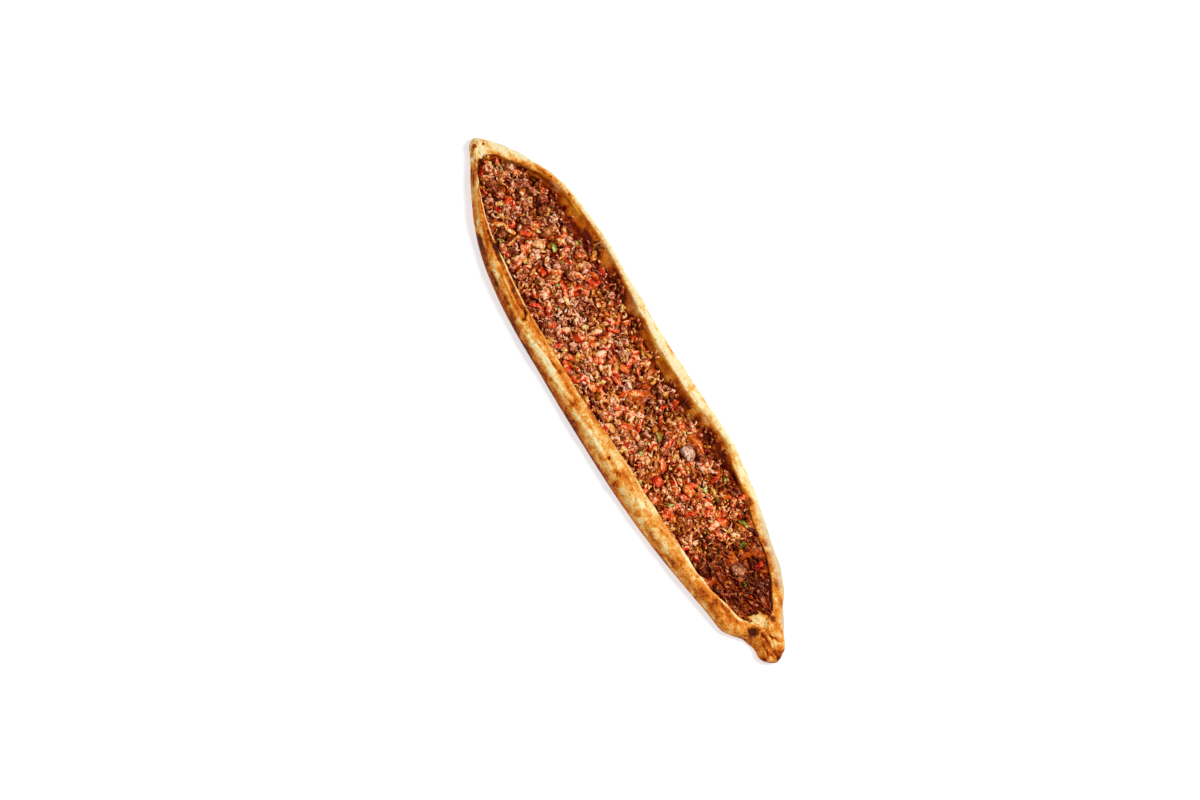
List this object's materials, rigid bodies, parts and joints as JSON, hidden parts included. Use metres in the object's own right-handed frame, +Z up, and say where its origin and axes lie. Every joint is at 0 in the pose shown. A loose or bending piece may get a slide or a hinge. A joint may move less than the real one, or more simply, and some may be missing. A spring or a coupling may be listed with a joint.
{
  "type": "turkish pide",
  "caption": "Long boat-shaped flatbread with folded sides and pinched ends, filled with minced meat and bits of tomato, pepper and onion.",
  "frame": {"origin": "centre of the bounding box's underside, on the surface that the pide rests on", "axes": "+X along the pide, towards its pleated end; +Y across it, towards the thinner side; +Z up"},
  "size_m": [0.48, 0.1166, 0.017],
  "materials": {
    "crust": "baked dough, cream to golden brown",
    "meat": "cooked minced meat, oily",
    "tomato": "cooked tomato, wet",
    "red_pepper": "cooked red pepper, wet",
    "green_pepper": "cooked green pepper, wet",
    "onion": "cooked onion, wet"
  },
  "bodies": {
    "root": {"crust": "crust", "filling": "meat", "tomato_1": "tomato", "pepper_strip_1": "red_pepper", "pepper_strip_2": "red_pepper", "tomato_2": "tomato", "pepper_green_1": "green_pepper", "tomato_3": "tomato", "pepper_strip_3": "red_pepper", "pepper_strip_4": "red_pepper", "pepper_strip_5": "red_pepper", "pepper_strip_6": "red_pepper", "tomato_4": "tomato", "tomato_5": "tomato", "tomato_6": "tomato", "pepper_strip_7": "red_pepper", "onion_1": "onion", "pepper_strip_8": "red_pepper", "pepper_green_2": "green_pepper", "pepper_strip_9": "red_pepper", "pepper_strip_10": "red_pepper", "tomato_7": "tomato", "tomato_8": "tomato", "tomato_9": "tomato", "pepper_green_3": "green_pepper", "meat_chunk_1": "meat", "meat_chunk_2": "meat"}
  },
  "joints": []
}
